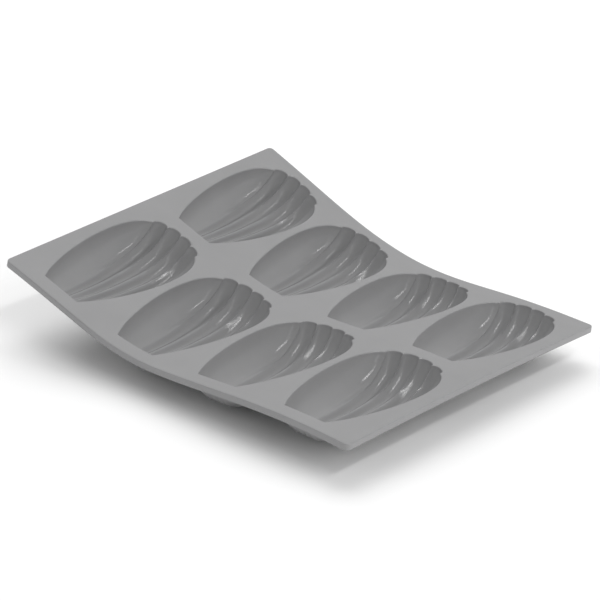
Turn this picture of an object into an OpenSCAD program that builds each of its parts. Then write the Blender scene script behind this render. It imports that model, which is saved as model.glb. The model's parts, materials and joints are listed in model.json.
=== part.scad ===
// Flexible silicone pan with eight shell-shaped madeleine cups, lying as it
// was photographed: one end lifted, the other end down on its cups.
// The sheet is described flat first, as distance along its length (s), across
// its width (y) and height above its top face (h), and is then bent to shape.

/* [Sheet] */
// Thickness of the sheet
sheet_t = 3.2; // [2:0.1:5]
// Clear sheet between one row of mouths and the next
row_gap = 4.4; // [4:0.1:12]
// Clear sheet between the two mouths of a row
pair_gap = 7.6; // [3:0.1:16]
// Clear sheet at the lifted end and the low end, beyond half a row's gap
end_land = 5; // [1:0.5:20]
// Clear sheet along the near and far edges, beyond half a pair's gap
edge_land = 3; // [1:0.5:20]
// Width of the flexing strip between two rows of cups
web_w = 1.6; // [1:0.1:2.2]

/* [Cups] */
// Length of a cup's mouth along its middle, up to the notch between its scallops
cup_l = 75.2; // [60:0.2:90]
// Greatest width of a cup's mouth
cup_w = 45.6; // [36:0.2:56]
// Width of the straight edge at a cup's narrow end
narrow_w = 22; // [16:0.5:26]
// Width of the scalloped end, from its first notch to its last
scallop_w = 30; // [26:0.5:34]
// Depth of a cup below the sheet's top face
cup_h = 14.8; // [11:0.2:20]
// Thickness of a cup's bottom
cup_wall = 1.3; // [1:0.1:2]
// Width of the rim round a cup's mouth
rim_w = 0.8; // [0.5:0.1:1]
// How far each scallop stands out between its notches
scallop_out = 2.2; // [0.5:0.1:4]
// How far the outer notches fall back behind the middle one
scallop_fall = 4.3; // [2:0.1:8]
// Depth of a flute between two ridges
flute_d = 2.3; // [0.2:0.1:3]
// Depth of the narrow hollow beside the outer ridges, where a cup's smooth sides begin
side_flute_d = 1.2; // [0:0.1:1.8]

/* [Bend] */
// Slope of the lifted end along the near edge, in degrees
lift_near = 17; // [4:1:26]
// Slope of the lifted end along the far edge, in degrees
lift_far = 22.5; // [4:0.5:26]
// Slope of the slow wave along the near edge's low end, in degrees
wave_near = 3.8; // [0:0.2:5]
// Slope of the slow wave along the far edge's low end, in degrees
wave_far = 2.8; // [0:0.2:5]
// How much flatter the near edge is at its lifted tip, in degrees
tip_near = 2.3; // [0:0.1:4]
// How much flatter the far edge is at its lifted tip, in degrees
tip_far = 1; // [0:0.1:4]
// How far the middle of the sheet stands above its near and far edges
crown = 1.1; // [0:0.1:1.4]
// Depth of the flat feet where the lowest cups meet the table
foot_cut = 0.8; // [0.2:0.1:1]

/* [Hidden] */
rows = 4;
row_ids = [1:rows];
silicone = "#8f8f90";

// Distance from row to row and from cup to cup in a row, and the whole flat sheet
pitch_x = cup_w + row_gap;
pitch_y = cup_l + scallop_out + pair_gap;
sheet_l = rows * pitch_x + 2 * end_land;
sheet_w = 2 * (pitch_y + edge_land);

// Where the bend starts, ends and turns into the wave, as shares of the length
bend_near = [0.226, 0.509, 0.425, 0.839];
bend_far = [0.19, 0.75, 0.463, 0.746];

// Counts along and across a cup
flutes = 4;
steps_flute = 6;
steps_side = 6;
steps_long = 11;
// Shares of a cup's half width that its flutes take up, overall and at the narrow end
fluted = 0.62;
narrow_fluted = 0.57;
// Share of a smooth side that the hollow beside its ridge takes up
side_fluted = 0.5;
// How far down its side the mouth's outline is part of the round end
side_turn = 0.75;
// How far the bulge of the sides reaches inwards
bulge_power = 3.8;
// Roundness of a cup's bottom and walls: across it, at its narrow end and at its round end
across_power = 4.1;
side_wall = 0.43;
near_power = 1.2;
near_wall = 0.21;
far_power = 3.8;
far_wall = 0.8;

function lerp(a, b, t) = a + (b - a) * t;
function ease(t) = let (c = min(1, max(0, t))) c * c * (3 - 2 * c);

// Slope of one edge of the sheet at distance s, in degrees
function slope(s, lift, wave, tip, bend) =
    let (r = s / sheet_l,
         low = r > bend[2] ? wave * sin(360 * (r - bend[2]) / bend[3]) : 0,
         end = max(0, 1 - r / bend[0]))
    lift * (1 - ease((r - bend[0]) / (bend[1] - bend[0]))) - low - tip * end * end;

// One edge as points [x, z, slope], from the lifted end to the low end
bend_steps = 84;
step_s = sheet_l / bend_steps;
function edge_line(lift, wave, tip, bend) =
    [for (i = 0, x = 0, z = 0; i <= bend_steps;
          x = x + step_s * cos(slope((i + 0.5) * step_s, lift, wave, tip, bend)),
          z = z - step_s * sin(slope((i + 0.5) * step_s, lift, wave, tip, bend)),
          i = i + 1)
        [x, z, slope(i * step_s, lift, wave, tip, bend)]];
near_line = edge_line(lift_near, wave_near, tip_near, bend_near);
far_line = edge_line(lift_far, wave_far, tip_far, bend_far);

// Point of an edge line at distance s and height h, counted from its low end
function edge_point(line, s, h) =
    let (k = min(bend_steps - 1, max(0, floor(s / step_s))),
         t = s / step_s - k,
         p = lerp(line[k], line[k + 1], t),
         tip = line[bend_steps])
    [p[0] - tip[0] + h * sin(p[2]), p[1] - tip[1] + h * cos(p[2])];

// The bent place of a flat point [s, y, h], before it is set on the table
function bent(p) =
    let (n = edge_point(near_line, p[0], p[2]),
         f = edge_point(far_line, p[0], p[2]),
         m = lerp(n, f, p[1] / sheet_w + 0.5),
         up = crown * ease(2 * p[0] / sheet_l) * (1 - pow(2 * p[1] / sheet_w, 2)))
    [m[0], p[1], m[1] + up];

// Shares of a cup's half width at which its surface is drawn, from -1 to 1
side_shares = [for (i = [0:steps_side - 1]) fluted + (1 - fluted) * sin(90 * (steps_side - i) / steps_side)];
flute_shares = [for (i = [0:flutes * steps_flute]) fluted * (2 * i / (flutes * steps_flute) - 1)];
us = concat([for (u = side_shares) -u], flute_shares,
            [for (i = [steps_side - 1:-1:0]) side_shares[i]]);
vs = [for (i = [0:steps_long]) (1 - cos(180 * i / steps_long)) / 2];
nu = len(us);
nv = len(vs);

// Place across one flute, from -1 at its first ridge to 1 at its second
function in_flute(u) =
    let (w = (u / fluted + 1) * flutes / 2) 2 * (w - floor(w)) - 1;
function is_fluted(u) = abs(u) < fluted + 0.0001;

// One side of the mouth, from the narrow end at 0 to the first notch at 1
function side(t) =
    let (a = [narrow_w / 2, -cup_l / 2],
         b = [0.902 * cup_w / 2, -0.312 * cup_l],
         c = [1.311 * cup_w / 2, 0.316 * cup_l],
         d = notch(1), q = 1 - t)
    q * q * q * a + 3 * q * q * t * b + 3 * q * t * t * c + t * t * t * d;

// Ends of the ridges round the scalloped end, from -1 to 1
function notch(k) =
    let (x = scallop_w / 2 * sin(40 * k) / sin(40))
    [x, cup_l / 2 - scallop_fall * pow(2 * x / scallop_w, 2)];

// The round end of the mouth at share u
function round_end(u) =
    is_fluted(u)
        ? let (p = notch(u / fluted), w = in_flute(u),
               out = scallop_out * sqrt(max(0, 1 - w * w)),
               lean = scallop_fall * 8 * p[0] / pow(scallop_w, 2))
          p + out * [lean, 1] / norm([lean, 1])
        : let (t = 1 - (1 - side_turn) * (abs(u) - fluted) / (1 - fluted),
               p = side(t))
          [sign(u) * p[0], p[1]];

// Share of the straight narrow end at share u, where the flutes stand closer
function narrow_share(u) =
    is_fluted(u)
        ? u * narrow_fluted / fluted
        : sign(u) * lerp(narrow_fluted, 1, (abs(u) - fluted) / (1 - fluted));

// Plan of a cup at share u across and v along
function plan(u, v) =
    let (n = [narrow_share(u) * narrow_w / 2, -cup_l / 2],
         e = round_end(u),
         b = side(side_turn * v),
         chord = lerp(side(0), side(side_turn), v),
         out = (b - chord) * pow(abs(u), bulge_power))
    lerp(n, e, v) + [sign(u) * out[0], out[1]];

// Depth share of a cup: 0 at its rim, 1 at its bottom, steepest at the narrow end
function rise(w, power, wall) = pow(max(0, 1 - pow(abs(w), power)), wall);
function bowl(u, v) =
    rise(u, across_power, side_wall)
    * (v < 0.5 ? rise(2 * v - 1, near_power, near_wall) : rise(2 * v - 1, far_power, far_wall));

// Extra depth of the flutes, which run in waves, and of the hollow beside them near the round end
function groove(u, v) =
    let (w = min(1, (abs(u) - fluted) / (1 - fluted) / side_fluted),
         sunk = is_fluted(u) ? flute_d * (1 + cos(180 * in_flute(u))) / 2
                             : side_flute_d * ease(2.2 * v - 0.7) * (1 - cos(360 * w)) / 2)
    sunk * ease(0.42 + 1.2 * v) * bowl(u, v);

function outer_scale() = [1 + 2 * rim_w / cup_w, 1 + 2 * rim_w / cup_l];

// Centre of a cup in the flat sheet, row 1 to 4, side -1 near and 1 far
function row_s(row) = sheet_l / 2 + (row - (rows + 1) / 2) * pitch_x;
function cup_centre(row, side) = [row_s(row), side * pitch_y / 2];

function inner_point(row, side, u, v) =
    let (c = cup_centre(row, side), p = plan(u, v))
    [c[0] + p[0], c[1] + p[1], -cup_h * bowl(u, v) - groove(u, v)];
function outer_plan(row, side, u, v) =
    let (c = cup_centre(row, side), p = plan(u, v), k = outer_scale())
    [c[0] + p[0] * k[0], c[1] + p[1] * k[1]];
function outer_point(row, side, u, v) =
    let (p = outer_plan(row, side, u, v))
    [p[0], p[1], -sheet_t - (cup_h + cup_wall - sheet_t) * bowl(u, v) - groove(u, v)];

// The table is at the cups' lowest point, less the cut of the flat feet
lowest = min([for (row = row_ids, side = [-1, 1], u = us, v = vs) bent(outer_point(row, side, u, v))[2]]);
x_low = min([for (line = [near_line, far_line]) edge_point(line, 0, -sheet_t)[0]]);
function placed(p) =
    let (q = bent(p))
    [q[0] - x_low / 2, q[1], max(0, q[2] - lowest - foot_cut)];

// Border of the cup grid, once round: near side, round end, other side, narrow end
border = concat([for (j = [0:nv - 1]) [0, j]],
                [for (i = [1:nu - 1]) [i, nv - 1]],
                [for (j = [nv - 2:-1:0]) [nu - 1, j]],
                [for (i = [nu - 2:-1:1]) [i, 0]]);
nb = len(border);

// Two triangles of a four-sided face, cut from its first to its third corner
function quad(a, b, c, d) = [[a, b, c], [a, c, d]];
function flat_list(l) = [for (a = l) each a];

module cup(row, side) {
    inner = [for (u = us, v = vs) placed(inner_point(row, side, u, v))];
    outer = [for (u = us, v = vs) placed(outer_point(row, side, u, v))];
    lip = [for (b = border) placed(concat(outer_plan(row, side, us[b[0]], vs[b[1]]), [0]))];
    no = nu * nv;
    nl = 2 * no;
    skin = flat_list([for (i = [0:nu - 2], j = [0:nv - 2])
        let (a = i * nv + j, b = a + nv, c = b + 1, d = a + 1)
        concat(quad(a, d, c, b), quad(no + a, no + b, no + c, no + d))]);
    rim = flat_list([for (k = [0:nb - 1])
        let (m = (k + 1) % nb,
             p = border[k][0] * nv + border[k][1],
             q = border[m][0] * nv + border[m][1])
        concat(quad(p, nl + k, nl + m, q), quad(nl + k, no + p, no + q, nl + m))]);
    color(silicone) polyhedron(concat(inner, outer, lip), concat(skin, rim));
}

// Flat corners of the rectangle of sheet round one cup
function cell_box(row, side) = [
    [row == 1 ? 0 : row_s(row) - pitch_x / 2 + web_w / 2, side < 0 ? -sheet_w / 2 : 0],
    [row == rows ? sheet_l : row_s(row) + pitch_x / 2 - web_w / 2, side < 0 ? 0 : sheet_w / 2]];
function cell_point(row, side, b) =
    let (box = cell_box(row, side), u = us[b[0]], v = vs[b[1]])
    [lerp(box[0][0], box[1][0], (u + 1) / 2), lerp(box[0][1], box[1][1], v)];

module deck_cell(row, side) {
    hole = [for (h = [0, -sheet_t], b = border) placed(concat(outer_plan(row, side, us[b[0]], vs[b[1]]), [h]))];
    edge = [for (h = [0, -sheet_t], b = border) placed(concat(cell_point(row, side, b), [h]))];
    e = 2 * nb;
    faces = flat_list([for (k = [0:nb - 1])
        let (m = (k + 1) % nb)
        concat(quad(k, m, nb + m, nb + k),
               quad(k, e + k, e + m, m),
               quad(e + k, e + nb + k, e + nb + m, e + m),
               quad(nb + k, nb + m, e + nb + m, e + nb + k))]);
    polyhedron(concat(hole, edge), faces);
}

module deck_row(row) {
    color(silicone) union() {
        deck_cell(row, -1);
        deck_cell(row, 1);
    }
}

// The strip between two rows, drawn at the same distances across as its neighbours
across = concat([for (v = vs) lerp(-sheet_w / 2, 0, v)],
                [for (j = [1:nv - 1]) lerp(0, sheet_w / 2, vs[j])]);
na = len(across);

module flex_web(row) {
    s = row_s(row) + pitch_x / 2;
    line = [for (c = [[-1, 0], [1, 0], [1, -1], [-1, -1]], y = across)
        placed([s + c[0] * web_w / 2, y, c[1] * sheet_t])];
    sides = flat_list([for (c = [0:3], k = [0:na - 2])
        let (d = (c + 1) % 4)
        quad(c * na + k, d * na + k, d * na + k + 1, c * na + k + 1)]);
    ends = concat(quad(0, 3 * na, 2 * na, na),
                  quad(na - 1, 2 * na - 1, 3 * na - 1, 4 * na - 1));
    color(silicone) polyhedron(line, concat(sides, ends));
}

deck_row(1);  // deck_row_1
deck_row(2);  // deck_row_2
deck_row(3);  // deck_row_3
deck_row(4);  // deck_row_4
flex_web(1);  // flex_web_1
flex_web(2);  // flex_web_2
flex_web(3);  // flex_web_3
cup(1, -1);  // cup_1_near
cup(1, 1);  // cup_1_far
cup(2, -1);  // cup_2_near
cup(2, 1);  // cup_2_far
cup(3, -1);  // cup_3_near
cup(3, 1);  // cup_3_far
cup(4, -1);  // cup_4_near
cup(4, 1);  // cup_4_far
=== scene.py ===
"""Silicone madeleine pan: a thin bent sheet with eight shell-shaped cups, in soft studio light.

The sheet is described flat first, as distance along its length (s), across its
width (y) and height above its top face (h), and is then bent to the shape in
which it was photographed. A cup is described by shares: u across it, from -1 to
1, and v along it, from 0 at its narrow end to 1 at its round end. Lengths are
in metres, and angles are in degrees where nothing else is said.
"""
import json
import logging
import math
from abc import ABC, abstractmethod
from collections.abc import Callable
from dataclasses import dataclass, field
from enum import Enum

import bmesh
import bpy
from mathutils import Matrix, Vector

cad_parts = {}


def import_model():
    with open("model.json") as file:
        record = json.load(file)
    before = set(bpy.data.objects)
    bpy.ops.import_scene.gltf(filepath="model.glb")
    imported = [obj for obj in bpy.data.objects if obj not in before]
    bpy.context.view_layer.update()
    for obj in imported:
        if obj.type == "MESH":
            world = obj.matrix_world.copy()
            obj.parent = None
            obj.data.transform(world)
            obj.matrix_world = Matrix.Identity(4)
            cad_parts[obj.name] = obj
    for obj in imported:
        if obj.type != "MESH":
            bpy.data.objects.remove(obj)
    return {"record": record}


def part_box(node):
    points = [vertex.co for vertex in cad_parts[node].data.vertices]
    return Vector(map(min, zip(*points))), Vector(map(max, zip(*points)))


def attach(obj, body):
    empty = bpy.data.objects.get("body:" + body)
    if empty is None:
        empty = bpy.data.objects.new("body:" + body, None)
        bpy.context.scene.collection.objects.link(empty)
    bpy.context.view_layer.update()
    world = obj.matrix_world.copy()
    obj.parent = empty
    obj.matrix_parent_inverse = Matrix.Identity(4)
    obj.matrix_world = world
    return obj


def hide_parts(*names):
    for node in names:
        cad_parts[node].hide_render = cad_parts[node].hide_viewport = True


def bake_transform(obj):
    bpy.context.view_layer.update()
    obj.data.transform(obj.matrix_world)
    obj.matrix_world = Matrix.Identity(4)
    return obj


MM = 0.001
MERGE = 1e-6
SHARE_SLACK = 1e-4
CREASE = 50

EdgeLine = list[tuple[float, float, float]]
MeshParts = bmesh.types.BMVertSeq | bmesh.types.BMEdgeSeq | bmesh.types.BMFaceSeq
Rule = Callable[[float, float, int], Vector]

log = logging.getLogger("madeleine_pan")


class Side(Enum):
    """Which half of the sheet a cup lies in, seen from the camera."""

    NEAR = -1
    FAR = 1

    @property
    def word(self) -> str:
        """The side's word in a node's name."""
        return self.name.lower()


def lerp(a: float, b: float, t: float) -> float:
    """The number a share t of the way from a to b."""
    return a + (b - a) * t


def ease(t: float) -> float:
    """A smooth step from 0 to 1."""
    c = min(1.0, max(0.0, t))
    return c * c * (3 - 2 * c)


@dataclass(frozen=True)
class EdgeBend:
    """How one long edge of the sheet slopes; places are shares of the length."""

    lift: float
    wave: float
    tip: float
    lift_end: float
    flat_start: float
    wave_start: float
    wave_span: float

    def slope(self, r: float) -> float:
        """Slope of the edge.

        Args:
            r: Share of the length, from the lifted end.

        Returns:
            The downward slope in radians.
        """
        fall = 1 - ease((r - self.lift_end) / (self.flat_start - self.lift_end))
        past = max(0.0, r - self.wave_start)
        low = self.wave * math.sin(math.tau * past / self.wave_span)
        end = max(0.0, 1 - r / self.lift_end)
        return math.radians(self.lift * fall - low - self.tip * end * end)


@dataclass(frozen=True)
class WallForm:
    """How a bowl's wall comes down: a flatter middle by one power and a steeper wall by the other."""

    middle_power: float
    wall_power: float

    def depth(self, w: float) -> float:
        """Share of the depth, for w from 0 in the middle to 1 or -1 at the border."""
        return max(0.0, 1 - abs(w) ** self.middle_power) ** self.wall_power


@dataclass(frozen=True)
class Growth:
    """How a flute grows along the cup, from a first value at a steady rate, with smooth ends."""

    first: float
    rate: float

    def share(self, v: float) -> float:
        """Share of the flute's depth at share v along the cup."""
        return ease(self.first + self.rate * v)


@dataclass
class CupForm:
    """The shape of one shell cup: its mouth, its flutes and its depth."""

    length: float = 75.2 * MM
    width: float = 45.6 * MM
    narrow: float = 22 * MM
    scallops: float = 30 * MM
    depth: float = 14.8 * MM
    bottom: float = 1.3 * MM
    rim: float = 0.8 * MM
    lip_round: float = 0.62 * MM
    scallop_out: float = 2.2 * MM
    scallop_fall: float = 4.3 * MM
    notch_turn: float = 40
    flutes: int = 4
    fluted: float = 0.62
    narrow_fluted: float = 0.57
    flute_depth: float = 2.3 * MM
    flute_growth: Growth = Growth(first=0.42, rate=1.2)
    hollow_depth: float = 1.2 * MM
    hollow_share: float = 0.5
    hollow_growth: Growth = Growth(first=-0.7, rate=2.2)
    side_turn: float = 0.75
    bulge_power: float = 3.8
    across: WallForm = WallForm(middle_power=4.1, wall_power=0.43)
    narrow_end: WallForm = WallForm(middle_power=1.2, wall_power=0.21)
    round_end: WallForm = WallForm(middle_power=3.8, wall_power=0.8)
    pull_low: tuple[float, float] = (0.902, -0.312)
    pull_high: tuple[float, float] = (1.311, 0.316)

    def flute_share(self, u: float) -> float:
        """Place across one flute, from -1 at its first ridge to 1 at its second."""
        w = (u / self.fluted + 1) * self.flutes / 2
        return 2 * (w - math.floor(w)) - 1

    def is_fluted(self, u: float) -> bool:
        """Whether the share u across the cup lies in its flutes."""
        return abs(u) < self.fluted + SHARE_SLACK

    def past_flutes(self, u: float) -> float:
        """Share of the way from the outer ridge to the side of the cup."""
        return (abs(u) - self.fluted) / (1 - self.fluted)

    def notch(self, k: float) -> Vector:
        """A ridge's end on the round end of the mouth.

        Args:
            k: Place among the ridges, from -1 to 1.

        Returns:
            The point (along the sheet, across the sheet) from the cup's centre.
        """
        turn = math.radians(self.notch_turn)
        x = self.scallops / 2 * math.sin(turn * k) / math.sin(turn)
        return Vector((x, self.length / 2 - self.scallop_fall * (2 * x / self.scallops) ** 2))

    def side_line(self, t: float) -> Vector:
        """One side of the mouth, a curve drawn out by two pulls.

        Args:
            t: Share of the side, from the narrow end at 0 to the first notch at 1.

        Returns:
            The point from the cup's centre.
        """
        start = Vector((self.narrow / 2, -self.length / 2))
        low = Vector((self.pull_low[0] * self.width / 2, self.pull_low[1] * self.length))
        high = Vector((self.pull_high[0] * self.width / 2, self.pull_high[1] * self.length))
        q = 1 - t
        return q ** 3 * start + 3 * q * q * t * low + 3 * q * t * t * high + t ** 3 * self.notch(1)

    def end_line(self, u: float) -> Vector:
        """The round end of the mouth, scalloped where the flutes meet it.

        Args:
            u: Share across the cup.

        Returns:
            The point from the cup's centre.
        """
        if self.is_fluted(u):
            point = self.notch(u / self.fluted)
            out = self.scallop_out * math.sqrt(max(0.0, 1 - self.flute_share(u) ** 2))
            lean = 8 * self.scallop_fall * point.x / self.scallops ** 2
            return point + out * Vector((lean, 1)).normalized()
        point = self.side_line(1 - (1 - self.side_turn) * self.past_flutes(u))
        return Vector((math.copysign(point.x, u), point.y))

    def narrow_share(self, u: float) -> float:
        """Share across the straight narrow end, where the flutes stand closer.

        Args:
            u: Share across the cup.

        Returns:
            The share of half the narrow end.
        """
        if self.is_fluted(u):
            return u * self.narrow_fluted / self.fluted
        return math.copysign(lerp(self.narrow_fluted, 1, self.past_flutes(u)), u)

    def plan(self, u: float, v: float) -> Vector:
        """Plan of the cup.

        Args:
            u: Share across the cup.
            v: Share along the cup.

        Returns:
            The point (along the sheet, across the sheet) from the cup's centre.
        """
        start = Vector((self.narrow_share(u) * self.narrow / 2, -self.length / 2))
        chord = self.side_line(0).lerp(self.side_line(self.side_turn), v)
        out = (self.side_line(self.side_turn * v) - chord) * abs(u) ** self.bulge_power
        return start.lerp(self.end_line(u), v) + Vector((math.copysign(out.x, u), out.y))

    def grown_plan(self, u: float, v: float, out: float) -> Vector:
        """The plan, let out by a distance all round."""
        point = self.plan(u, v)
        return Vector((point.x * (1 + 2 * out / self.width), point.y * (1 + 2 * out / self.length)))

    def bowl(self, u: float, v: float) -> float:
        """Share of the cup's depth, steepest at the narrow end."""
        along = self.narrow_end if v < 0.5 else self.round_end
        return self.across.depth(u) * along.depth(2 * v - 1)

    def groove(self, u: float, v: float) -> float:
        """Extra depth of the flutes, which run in waves, and of the hollows beside them.

        Args:
            u: Share across the cup.
            v: Share along the cup.

        Returns:
            The depth below the bowl.
        """
        if self.is_fluted(u):
            sink = self.flute_depth * (1 + math.cos(math.pi * self.flute_share(u))) / 2
        else:
            w = min(1.0, self.past_flutes(u) / self.hollow_share)
            sink = self.hollow_depth * self.hollow_growth.share(v) * (1 - math.cos(math.tau * w)) / 2
        return sink * self.flute_growth.share(v) * self.bowl(u, v)

    def inner_height(self, u: float, v: float) -> float:
        """Height of the inside, which starts below the rounded lip."""
        return -self.lip_round - (self.depth - self.lip_round) * self.bowl(u, v) - self.groove(u, v)

    def outer_height(self, u: float, v: float, thick: float) -> float:
        """Height of the underside, which starts at the underside of a sheet so thick."""
        return -thick - (self.depth + self.bottom - thick) * self.bowl(u, v) - self.groove(u, v)


@dataclass
class SheetForm:
    """The sheet's sizes and its bend, which every piece of the pan follows."""

    cup: CupForm
    thick: float = 3.2 * MM
    web: float = 1.6 * MM
    row_gap: float = 4.4 * MM
    pair_gap: float = 7.6 * MM
    end_land: float = 5 * MM
    edge_land: float = 3 * MM
    rows: int = 4
    crown: float = 1.1 * MM
    corner: float = 2.4 * MM
    edge_round: float = 0.45 * MM
    near: EdgeBend = EdgeBend(
        lift=17, wave=3.8, tip=2.3, lift_end=0.226, flat_start=0.509, wave_start=0.425, wave_span=0.839
    )
    far: EdgeBend = EdgeBend(
        lift=22.5, wave=2.8, tip=1.0, lift_end=0.19, flat_start=0.75, wave_start=0.463, wave_span=0.746
    )
    steps: int = 840
    shift: Vector = field(default_factory=Vector)

    def __post_init__(self) -> None:
        """Works out the overall sizes and the edge lines, and sets the sheet where the frame has it."""
        self.pitch_along = self.cup.width + self.row_gap
        self.pitch_across = self.cup.length + self.cup.scallop_out + self.pair_gap
        self.length = self.rows * self.pitch_along + 2 * self.end_land
        self.width = 2 * (self.pitch_across + self.edge_land)
        self.reach = self.width / 2 - self.edge_round
        self.near_line = self._edge_line(self.near)
        self.far_line = self._edge_line(self.far)
        low_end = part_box(f"deck_row_{self.rows}")[1]
        lifted_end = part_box("deck_row_1")[1]
        tips = [self._bent(0, side.value * self.width / 2, 0) for side in Side]
        self.shift = Vector((low_end[0], 0, lifted_end[2] - max(tip.z for tip in tips)))

    def _edge_line(self, bend: EdgeBend) -> EdgeLine:
        """One edge as (x, z, slope), counted from its low end.

        Args:
            bend: The edge's bend.

        Returns:
            One entry for each step of the length.
        """
        step = self.length / self.steps
        x = z = 0.0
        line = []
        for i in range(self.steps + 1):
            line.append((x, z, bend.slope(i / self.steps)))
            middle = bend.slope((i + 0.5) / self.steps)
            x += step * math.cos(middle)
            z -= step * math.sin(middle)
        end_x, end_z, _ = line[-1]
        return [(px - end_x, pz - end_z, slope) for px, pz, slope in line]

    def _edge_point(self, line: EdgeLine, s: float, h: float) -> tuple[float, float]:
        """A point beside one edge line.

        Args:
            line: The edge's line.
            s: Distance along the sheet.
            h: Height above the top face.

        Returns:
            The point as (x, z).
        """
        k = min(self.steps - 1, max(0, int(s / self.length * self.steps)))
        t = s / self.length * self.steps - k
        x, z, slope = (lerp(a, b, t) for a, b in zip(line[k], line[k + 1]))
        return x + h * math.sin(slope), z + h * math.cos(slope)

    def _bent(self, s: float, y: float, h: float) -> Vector:
        """The bent place of a flat point, before it is set on the table.

        Args:
            s: Distance along the sheet.
            y: Distance across the sheet from its middle.
            h: Height above the top face.

        Returns:
            The point, counted from the low end.
        """
        near_x, near_z = self._edge_point(self.near_line, s, h)
        far_x, far_z = self._edge_point(self.far_line, s, h)
        across = y / self.width + 0.5
        up = self.crown * ease(2 * s / self.length) * (1 - (2 * y / self.width) ** 2)
        return Vector((lerp(near_x, far_x, across), y, lerp(near_z, far_z, across) + up))

    def place(self, s: float, y: float, h: float) -> Vector:
        """Bends a flat point and sets it on the table.

        Args:
            s: Distance along the sheet from its lifted end.
            y: Distance across the sheet from its middle.
            h: Height above the top face.

        Returns:
            The point in the frame, never below the table.
        """
        point = self._bent(s, y, h) + self.shift
        return Vector((point.x, point.y, max(0.0, point.z)))

    def row_middle(self, row: int) -> float:
        """Distance along the sheet of the middle of a row of cups, counted from 1."""
        return self.length / 2 + (row - (self.rows + 1) / 2) * self.pitch_along

    def cup_middle(self, row: int, side: Side) -> tuple[float, float]:
        """Flat place (s, y) of a cup's centre."""
        return self.row_middle(row), side.value * self.pitch_across / 2

    def round_corner(self, s: float, y: float) -> tuple[float, float]:
        """Draws a point near one of the sheet's four corners in, so that the corner is round.

        Args:
            s: Distance along the sheet.
            y: Distance across the sheet.

        Returns:
            The moved (s, y), unchanged away from the corners.
        """
        along = s - self.length / 2
        past_s = abs(along) - (self.length / 2 - self.corner)
        past_y = abs(y) - (self.width / 2 - self.corner)
        if past_s <= 0 or past_y <= 0:
            return s, y
        shrink = max(past_s, past_y) / math.hypot(past_s, past_y)
        new_along = self.length / 2 - self.corner + past_s * shrink
        new_y = self.width / 2 - self.corner + past_y * shrink
        return self.length / 2 + math.copysign(new_along, along), math.copysign(new_y, y)


@dataclass
class ShareGrid:
    """The shares at which cups and the sheet round them are drawn."""

    cup: CupForm
    steps_flute: int = 14
    steps_side: int = 12
    steps_long: int = 60

    def __post_init__(self) -> None:
        """Works out the shares: even in the flutes and closer together towards the walls."""
        fluted, count = self.cup.fluted, self.cup.flutes * self.steps_flute
        turns = [math.pi / 2 * (1 - i / self.steps_side) for i in range(self.steps_side)]
        sides = [lerp(fluted, 1, math.sin(turn)) for turn in turns]
        middle = [fluted * (2 * i / count - 1) for i in range(count + 1)]
        self.across = [-u for u in sides] + middle + sides[::-1]
        self.along = [(1 - math.cos(math.pi * i / self.steps_long)) / 2 for i in range(self.steps_long + 1)]


@dataclass
class EdgeProfile:
    """The rounded outer edge of the sheet, as steps from its top face to its underside."""

    sheet: SheetForm
    segments: int = 4

    def __post_init__(self) -> None:
        """Works out each step as (distance out from the flat, height)."""
        r = self.sheet.edge_round
        turns = [math.pi / 2 * i / self.segments for i in range(self.segments + 1)]
        upper = [(r * math.sin(a), -r * (1 - math.cos(a))) for a in turns]
        lower = [(out, -self.sheet.thick - h) for out, h in reversed(upper)]
        self.steps = upper[1:] + lower

    def height(self, k: int, outer: bool) -> float:
        """Height of step k, which stays on a face where the edge isn't an outer one."""
        return self.steps[k][1] if outer else (0.0 if k < self.segments else -self.sheet.thick)


def ringed_shell(across: list[float], along: list[float], rings: int, hollow: bool) -> bmesh.types.BMesh:
    """Makes a closed shell in shares, ready to be shaped.

    A grid lies at level 0, with its x a share across and its y a share along.
    Rings grow from its border, one level each, and a second grid closes the
    last ring. A hollow shell has no grids, and its last ring meets its first.

    Args:
        across: The shares across, in order.
        along: The shares along, in order.
        rings: How many rings there are.
        hollow: Whether the shell is a closed band without grids.

    Returns:
        The shell, with each vertex at (share across, share along, level).
    """
    bm = bmesh.new()
    bmesh.ops.create_grid(bm, x_segments=len(across) - 1, y_segments=len(along) - 1, size=1)
    for vert in bm.verts:
        i = round((vert.co.x + 1) / 2 * (len(across) - 1))
        j = round((vert.co.y + 1) / 2 * (len(along) - 1))
        vert.co = (across[i], along[j], 0)
    top = list(bm.faces)
    edges = [edge for edge in bm.edges if edge.is_boundary]
    for level in range(1, rings + 1):
        new = bmesh.ops.extrude_edge_only(bm, edges=edges)["geom"]
        for vert in (part for part in new if isinstance(part, bmesh.types.BMVert)):
            vert.co.z = 0 if hollow and level == rings else level
        edges = [part for part in new if isinstance(part, bmesh.types.BMEdge) and part.is_boundary]
    if hollow:
        bmesh.ops.delete(bm, geom=top, context="FACES")
    else:
        copy = bmesh.ops.duplicate(bm, geom=top)["geom"]
        for vert in (part for part in copy if isinstance(part, bmesh.types.BMVert)):
            vert.co.z = rings
    bmesh.ops.remove_doubles(bm, verts=bm.verts, dist=MERGE)
    return bm


def shape(bm: bmesh.types.BMesh, rule: Rule) -> None:
    """Moves each vertex of a shell to its place, and closes what falls together.

    Args:
        bm: The shell in shares.
        rule: Gives the place of a share across, a share along and a level.
    """
    for vert in bm.verts:
        vert.co = rule(vert.co.x, vert.co.y, round(vert.co.z))
    bmesh.ops.remove_doubles(bm, verts=bm.verts, dist=MERGE)
    bmesh.ops.dissolve_degenerate(bm, edges=bm.edges, dist=MERGE)


def vertex_numbers(part: bmesh.types.BMEdge | bmesh.types.BMFace) -> list[int]:
    """The numbers of an edge's or a face's vertices, in order."""
    return sorted(vert.index for vert in part.verts)


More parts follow.
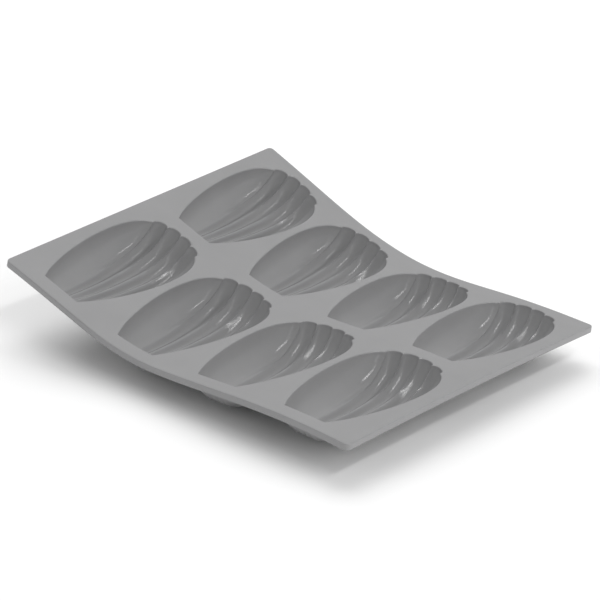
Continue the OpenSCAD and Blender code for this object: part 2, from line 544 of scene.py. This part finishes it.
def settle(parts: MeshParts, key: Callable) -> None:
    """Puts one kind of part of a mesh in an order that follows from its shape alone.

    Args:
        parts: The vertices, edges or faces of the mesh.
        key: What they are sorted by.
    """
    ranks = {part: rank for rank, part in enumerate(sorted(parts, key=key))}
    parts.sort(key=ranks.get)
    parts.index_update()


@dataclass
class PanPiece(ABC):
    """A piece of the pan, which stands for one node of the CAD model."""

    sheet: SheetForm
    grid: ShareGrid
    row: int

    @property
    @abstractmethod
    def node(self) -> str:
        """The CAD node that the piece stands for."""

    @abstractmethod
    def build(self) -> bpy.types.Object:
        """Builds the piece's closed mesh."""

    def finished(self, bm: bmesh.types.BMesh) -> bpy.types.Object:
        """Turns a shaped shell into the piece.

        Args:
            bm: The closed shell, in the frame's own place.

        Returns:
            The new object, at the origin.
        """
        bmesh.ops.recalc_face_normals(bm, faces=bm.faces)
        for face in bm.faces:
            face.smooth = True
        for edge in bm.edges:
            edge.smooth = edge.calc_face_angle(0) < math.radians(CREASE)
        settle(bm.verts, lambda vert: tuple(vert.co))
        settle(bm.edges, vertex_numbers)
        settle(bm.faces, vertex_numbers)
        name = f"visual_{self.node}"
        mesh = bpy.data.meshes.new(name)
        bm.to_mesh(mesh)
        bm.free()
        piece = bpy.data.objects.new(name, mesh)
        bpy.context.scene.collection.objects.link(piece)
        return piece

    def dress(self, piece: bpy.types.Object, finish: bpy.types.Material) -> None:
        """Gives the piece its finish, hides the CAD node that it stands for and then calls its follow.

        Args:
            piece: The built piece.
            finish: The silicone.
        """
        piece.data.materials.append(finish)
        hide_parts(self.node)
        self.follow(piece)

    def follow(self, piece: bpy.types.Object) -> None:
        """Lets the piece move with the body of its row."""
        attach(piece, f"row_{self.row}")


@dataclass
class ShellCup(PanPiece):
    """One shell-shaped cup with the lip round its mouth."""

    side: Side
    lip_steps: int = 6

    @property
    def node(self) -> str:
        """The CAD node that the cup stands for."""
        return f"cup_{self.row}_{self.side.word}"

    def _rule(self, u: float, v: float, level: int) -> Vector:
        """Place of one vertex of the cup.

        Args:
            u: Share across the cup.
            v: Share along the cup.
            level: 0 on the inside, then the steps of the lip, its flat rim and the underside.

        Returns:
            The point in the frame.
        """
        form = self.sheet.cup
        if level == 0:
            plan, height = form.plan(u, v), form.inner_height(u, v)
        elif level <= self.lip_steps:
            turn = math.pi / 2 * level / self.lip_steps
            plan = form.grown_plan(u, v, form.lip_round * (1 - math.cos(turn)))
            height = -form.lip_round * (1 - math.sin(turn))
        else:
            plan = form.grown_plan(u, v, form.rim)
            height = 0.0 if level == self.lip_steps + 1 else form.outer_height(u, v, self.sheet.thick)
        s, y = self.sheet.cup_middle(self.row, self.side)
        return self.sheet.place(s + plan.x, y + plan.y, height)

    def build(self) -> bpy.types.Object:
        """Builds the cup's closed wall.

        Returns:
            The cup.
        """
        bm = ringed_shell(self.grid.across, self.grid.along, self.lip_steps + 2, hollow=False)
        shape(bm, self._rule)
        return self.finished(bm)


@dataclass
class DeckRow(PanPiece):
    """The section of the sheet round the two cups of one row."""

    edge: EdgeProfile
    top_steps: int = 10
    bottom_steps: int = 6

    @property
    def node(self) -> str:
        """The CAD node that the section stands for."""
        return f"deck_row_{self.row}"

    def _outer_sides(self, u: float, v: float, side: Side) -> tuple[int, int]:
        """Finds the sheet's own outer edges at a border point.

        Args:
            u: Share across the cup, and so along the sheet.
            v: Share along the cup, and so across the sheet.
            side: The half of the sheet that the cell lies in.

        Returns:
            The way (along, across) to the outer edge, each -1, 0 or 1.
        """
        along = -1 if u == -1 and self.row == 1 else 1 if u == 1 and self.row == self.sheet.rows else 0
        across = side.value if v == (0 if side is Side.NEAR else 1) else 0
        return along, across

    def _border(self, u: float, v: float, side: Side) -> Vector:
        """Flat border of one cup's cell, with room for the rounded outer edges.

        Args:
            u: Share across the cup, and so along the sheet.
            v: Share along the cup, and so across the sheet.
            side: The half of the sheet that the cell lies in.

        Returns:
            The flat place (s, y).
        """
        sheet, middle = self.sheet, self.sheet.row_middle(self.row)
        half = sheet.pitch_along / 2 - sheet.web / 2
        first = sheet.edge_round if self.row == 1 else middle - half
        last = sheet.length - sheet.edge_round if self.row == sheet.rows else middle + half
        low, high = (-sheet.reach, 0.0) if side is Side.NEAR else (0.0, sheet.reach)
        return Vector((lerp(first, last, (u + 1) / 2), lerp(low, high, v)))

    def _rule(self, side: Side) -> Rule:
        """The flat place of each share pair and level of one cup's cell.

        Args:
            side: The half of the sheet that the cell lies in.

        Returns:
            A rule that goes over the top, round the edge and back along the underside.
        """
        centre = Vector(self.sheet.cup_middle(self.row, side))
        edge_start, edge_end = self.top_steps, self.top_steps + len(self.edge.steps)

        def rule(u: float, v: float, level: int) -> Vector:
            """The flat place (s, y, h) of one vertex.

            Args:
                u: Share across the cup.
                v: Share along the cup.
                level: The ring, counted from the mouth over the top and back underneath.

            Returns:
                The place before the bend.
            """
            hole = centre + self.sheet.cup.grown_plan(u, v, self.sheet.cup.rim)
            border = self._border(u, v, side)
            if level <= edge_start:
                flat, height = hole.lerp(border, level / self.top_steps), 0.0
            elif level <= edge_end:
                step = level - edge_start - 1
                outward = self._outer_sides(u, v, side)
                height = self.edge.height(step, any(outward))
                flat = border + self.edge.steps[step][0] * Vector(outward)
            else:
                flat, height = border.lerp(hole, (level - edge_end) / self.bottom_steps), -self.sheet.thick
            return Vector((*self.sheet.round_corner(flat.x, flat.y), height))

        return rule

    def build(self) -> bpy.types.Object:
        """Builds both cells of the row and joins them along the middle of the sheet.

        Returns:
            The section.
        """
        rings = self.top_steps + len(self.edge.steps) + self.bottom_steps
        cells = bmesh.new()
        for side in Side:
            bm = ringed_shell(self.grid.across, self.grid.along, rings + 1, hollow=True)
            shape(bm, self._rule(side))
            inside = [face for face in bm.faces if all(abs(vert.co.y) < MERGE for vert in face.verts)]
            bmesh.ops.delete(bm, geom=inside, context="FACES")
            cell = bpy.data.meshes.new("cell")
            bm.to_mesh(cell)
            bm.free()
            cells.from_mesh(cell)
            bpy.data.meshes.remove(cell)
        bmesh.ops.remove_doubles(cells, verts=cells.verts, dist=MERGE)
        for vert in cells.verts:
            vert.co = self.sheet.place(*vert.co)
        return self.finished(cells)


@dataclass
class FlexStrip(PanPiece):
    """The strip of sheet between a row and the next, given the axis of the hinge between them."""

    edge: EdgeProfile
    axis: Vector
    steps: int = 4
    margin: float = 0.12

    @property
    def node(self) -> str:
        """The CAD node that the strip stands for."""
        return f"flex_web_{self.row}"

    @property
    def middle(self) -> float:
        """Distance along the sheet of the middle of the strip."""
        return self.sheet.row_middle(self.row) + self.sheet.pitch_along / 2

    def _rule(self, u: float, y: float, level: int) -> Vector:
        """Place of one vertex of the strip.

        Args:
            u: Share of half the strip's width, from -1 to 1.
            y: Distance across the sheet.
            level: 0 on the top face, then the steps of the edge and the underside.

        Returns:
            The point in the frame.
        """
        height = 0.0 if level == 0 else -self.sheet.thick
        if 0 < level <= len(self.edge.steps):
            end = abs(y) > self.sheet.reach - MERGE
            height = self.edge.height(level - 1, end)
            y += math.copysign(self.edge.steps[level - 1][0], y) if end else 0.0
        return self.sheet.place(self.middle + u * self.sheet.web / 2, y, height)

    def build(self) -> bpy.types.Object:
        """Builds the strip with the same points along its sides as the sections it joins.

        Returns:
            The strip.
        """
        near = [lerp(-self.sheet.reach, 0, v) for v in self.grid.along]
        far = [lerp(0, self.sheet.reach, v) for v in self.grid.along]
        across = [2 * i / self.steps - 1 for i in range(self.steps + 1)]
        bm = ringed_shell(across, near + far[1:], len(self.edge.steps), hollow=False)
        shape(bm, self._rule)
        return self.finished(bm)

    def follow(self, piece: bpy.types.Object) -> None:
        """Works out the strip's span across its hinge, which nothing uses, and bakes the strip's place into
        its mesh.

        Args:
            piece: The built strip.
        """
        half, height = self.sheet.web / 2, -self.sheet.thick / 2
        start, end = (self.sheet.place(self.middle + way * half, 0, height) for way in (-1, 1))
        span = end - start
        span -= span.dot(self.axis) * self.axis
        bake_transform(piece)


@dataclass(frozen=True)
class Pattern:
    """A noise pattern: how fine it is, and how much finer detail it has."""

    scale: float
    detail: float

    def draw(self, tree: bpy.types.NodeTree, place: bpy.types.NodeSocket) -> bpy.types.NodeSocket:
        """Adds the pattern to a material.

        Args:
            tree: The material's nodes.
            place: The coordinates that the pattern runs through.

        Returns:
            The pattern's output.
        """
        node = tree.nodes.new("ShaderNodeTexNoise")
        node.inputs["Scale"].default_value = self.scale
        node.inputs["Detail"].default_value = self.detail
        tree.links.new(place, node.inputs["Vector"])
        return node.outputs["Fac"]


@dataclass(frozen=True)
class SiliconeFinish:
    """Moulded grey silicone: satin, faintly mottled, with a fine moulded grain."""

    name: str = "grey_silicone"
    pale: tuple[float, float, float] = (0.262, 0.262, 0.264)
    deep: tuple[float, float, float] = (0.236, 0.236, 0.239)
    mottle: Pattern = Pattern(scale=55.0, detail=4.0)
    satin: tuple[float, float] = (0.17, 0.22)
    satin_pattern: Pattern = Pattern(scale=160.0, detail=3.0)
    satin_reach: tuple[float, float] = (0.3, 0.7)
    grain: Pattern = Pattern(scale=1700.0, detail=2.0)
    grain_height: float = 0.06 * MM
    grain_strength: float = 0.5
    specular: float = 0.5

    def make(self) -> bpy.types.Material:
        """Makes the material.

        Returns:
            A node material that reads each piece's Object coordinates.
        """
        material = bpy.data.materials.new(self.name)
        material.use_nodes = True
        tree = material.node_tree
        shader = tree.nodes["Principled BSDF"]
        shader.inputs["Specular IOR Level"].default_value = self.specular
        place = tree.nodes.new("ShaderNodeTexCoord").outputs["Object"]
        tree.links.new(self._colour(tree, place), shader.inputs["Base Color"])
        tree.links.new(self._roughness(tree, place), shader.inputs["Roughness"])
        tree.links.new(self._relief(tree, place), shader.inputs["Normal"])
        return material

    def _colour(self, tree: bpy.types.NodeTree, place: bpy.types.NodeSocket) -> bpy.types.NodeSocket:
        """Mottles the deep grey with the pale one.

        Args:
            tree: The material's nodes.
            place: The Object coordinates.

        Returns:
            The colour.
        """
        mix = tree.nodes.new("ShaderNodeMix")
        mix.data_type = "RGBA"
        tree.links.new(self.mottle.draw(tree, place), mix.inputs["Factor"])
        mix.inputs["A"].default_value = (*self.deep, 1)
        mix.inputs["B"].default_value = (*self.pale, 1)
        return mix.outputs["Result"]

    def _roughness(self, tree: bpy.types.NodeTree, place: bpy.types.NodeSocket) -> bpy.types.NodeSocket:
        """Varies the roughness between its two satin values.

        Args:
            tree: The material's nodes.
            place: The Object coordinates.

        Returns:
            The roughness.
        """
        spread = tree.nodes.new("ShaderNodeMapRange")
        spread.inputs["From Min"].default_value, spread.inputs["From Max"].default_value = self.satin_reach
        spread.inputs["To Min"].default_value, spread.inputs["To Max"].default_value = self.satin
        tree.links.new(self.satin_pattern.draw(tree, place), spread.inputs["Value"])
        return spread.outputs["Result"]

    def _relief(self, tree: bpy.types.NodeTree, place: bpy.types.NodeSocket) -> bpy.types.NodeSocket:
        """Raises the fine moulded grain.

        Args:
            tree: The material's nodes.
            place: The Object coordinates.

        Returns:
            The bumped normal.
        """
        bump = tree.nodes.new("ShaderNodeBump")
        bump.inputs["Strength"].default_value = self.grain_strength
        bump.inputs["Distance"].default_value = self.grain_height
        tree.links.new(self.grain.draw(tree, place), bump.inputs["Height"])
        return bump.outputs["Normal"]


@dataclass(frozen=True)
class FloorPaint:
    """Plain pale paint, nearly matt."""

    name: str = "pale_floor"
    tone: float = 0.82
    rough: float = 0.9

    def make(self) -> bpy.types.Material:
        """Makes the paint.

        Returns:
            A plain material.
        """
        paint = bpy.data.materials.new(self.name)
        paint.use_nodes = True
        shader = paint.node_tree.nodes["Principled BSDF"]
        shader.inputs["Base Color"].default_value = (self.tone, self.tone, self.tone, 1)
        shader.inputs["Roughness"].default_value = self.rough
        return paint


@dataclass(frozen=True)
class Softbox:
    """One soft light that looks at the pan from a bearing, counted from +X."""

    name: str
    azimuth: float
    elevation: float
    power: float
    size: tuple[float, float] = (3.5, 3.5)
    distance: float = 4.0
    mirrored: bool = False

    def hang(self, target: Vector) -> None:
        """Hangs the light where it looks at a point.

        Args:
            target: The point.
        """
        light = bpy.data.lights.new(self.name, "AREA")
        light.shape = "RECTANGLE"
        light.energy = self.power
        light.size, light.size_y = self.size
        box = bpy.data.objects.new(self.name, light)
        box.visible_glossy = self.mirrored
        turn, rise = math.radians(self.azimuth), math.radians(self.elevation)
        ray = Vector((math.cos(turn) * math.cos(rise), math.sin(turn) * math.cos(rise), math.sin(rise)))
        box.location = target + self.distance * ray
        box.rotation_euler = (target - box.location).to_track_quat("-Z", "Y").to_euler()
        bpy.context.scene.collection.objects.link(box)


@dataclass
class Studio:
    """Pale floor, soft light and the camera at the photograph's view."""

    sheet: SheetForm
    floor_size: float = 24.0
    floor_drop: float = 0.05 * MM
    air: float = 0.43
    lens: float = 117.46
    sensor: float = 36.0
    stand: tuple[float, float, float] = (438.216 * MM, -632.536 * MM, 352.071 * MM)
    heading: float = 40.595
    tilt: float = 22.560
    roll: float = 2.535
    boxes: tuple[Softbox, ...] = (
        Softbox("back_left_panel", azimuth=135, elevation=50, power=130),
        Softbox("right_panel", azimuth=0, elevation=20, power=46),
        Softbox("front_left_panel", azimuth=225, elevation=20, power=28),
        Softbox("back_right_panel", azimuth=45, elevation=20, power=44),
        Softbox("side_softbox", azimuth=-32, elevation=36, power=8, size=(0.25, 3.2), mirrored=True),
        Softbox("key_softbox", azimuth=-6, elevation=57, power=33, size=(2.2, 0.35), mirrored=True),
    )

    def lay_floor(self) -> None:
        """Lays the plain pale floor, a hair under the pan's flat feet."""
        bm = bmesh.new()
        bmesh.ops.create_grid(bm, x_segments=1, y_segments=1, size=self.floor_size / 2)
        bmesh.ops.translate(bm, vec=(0, 0, -self.floor_drop), verts=bm.verts)
        mesh = bpy.data.meshes.new("floor")
        bm.to_mesh(mesh)
        bm.free()
        mesh.materials.append(FloorPaint().make())
        floor = bpy.data.objects.new("floor", mesh)
        bpy.context.scene.collection.objects.link(floor)

    def light(self) -> None:
        """Hangs the softboxes and fills the air with pale light."""
        world = bpy.data.worlds.new("studio_air")
        bpy.context.scene.world = world
        world.use_nodes = True
        air = world.node_tree.nodes["Background"]
        air.inputs["Color"].default_value = (1, 1, 1, 1)
        air.inputs["Strength"].default_value = self.air
        for box in self.boxes:
            box.hang(self.sheet.place(self.sheet.length / 2, 0, 0))

    def set_camera(self) -> None:
        """Sets the camera at the photograph's view, measured from the middle of the low end."""
        ends = [self.sheet.place(self.sheet.length, side.value * self.sheet.width / 2, 0) for side in Side]
        camera = bpy.data.cameras.new("photo_camera")
        camera.lens, camera.sensor_width = self.lens, self.sensor
        viewer = bpy.data.objects.new("photo_camera", camera)
        turn = (
            Matrix.Rotation(math.radians(self.heading), 4, "Z")
            @ Matrix.Rotation(math.radians(90 - self.tilt), 4, "X")
            @ Matrix.Rotation(math.radians(self.roll), 4, "Z")
        )
        viewer.matrix_world = Matrix.Translation((ends[0] + ends[1]) / 2 + Vector(self.stand)) @ turn
        bpy.context.scene.collection.objects.link(viewer)
        bpy.context.scene.camera = viewer

    def build(self) -> None:
        """Sets up the floor, the light and the camera."""
        bpy.context.scene.view_settings.view_transform = "Standard"
        self.lay_floor()
        self.light()
        self.set_camera()


def pan_pieces(sheet: SheetForm, joints: list[dict]) -> list[PanPiece]:
    """Lists the pan's pieces in the order in which they are built.

    Args:
        sheet: The sheet that they follow.
        joints: The hinges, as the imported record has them.

    Returns:
        The sections with their cups, row by row, and then the strips between them.
    """
    grid, edge = ShareGrid(sheet.cup), EdgeProfile(sheet)
    axes = {joint["name"]: Vector(joint["axis"]).normalized() for joint in joints}
    pieces = []
    for row in range(1, sheet.rows + 1):
        pieces.append(DeckRow(sheet, grid, row, edge))
        pieces += [ShellCup(sheet, grid, row, side) for side in Side]
    for row in range(1, sheet.rows):
        pieces.append(FlexStrip(sheet, grid, row, edge, axes[f"flex_{row}_{row + 1}"]))
    return pieces


def main(frame: dict) -> None:
    """Builds the pan and its studio in order.
    """
    logging.basicConfig(level=logging.INFO, format="%(message)s")
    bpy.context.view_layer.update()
    sheet = SheetForm(CupForm())
    silicone = SiliconeFinish().make()
    for part in pan_pieces(sheet, frame["record"]["behaviour"]["joints"]):
        piece = part.build()
        part.dress(piece, silicone)
        log.info("%s: %d faces", piece.name, len(piece.data.polygons))
    Studio(sheet).build()


if __name__ == "__main__":
    main(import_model())
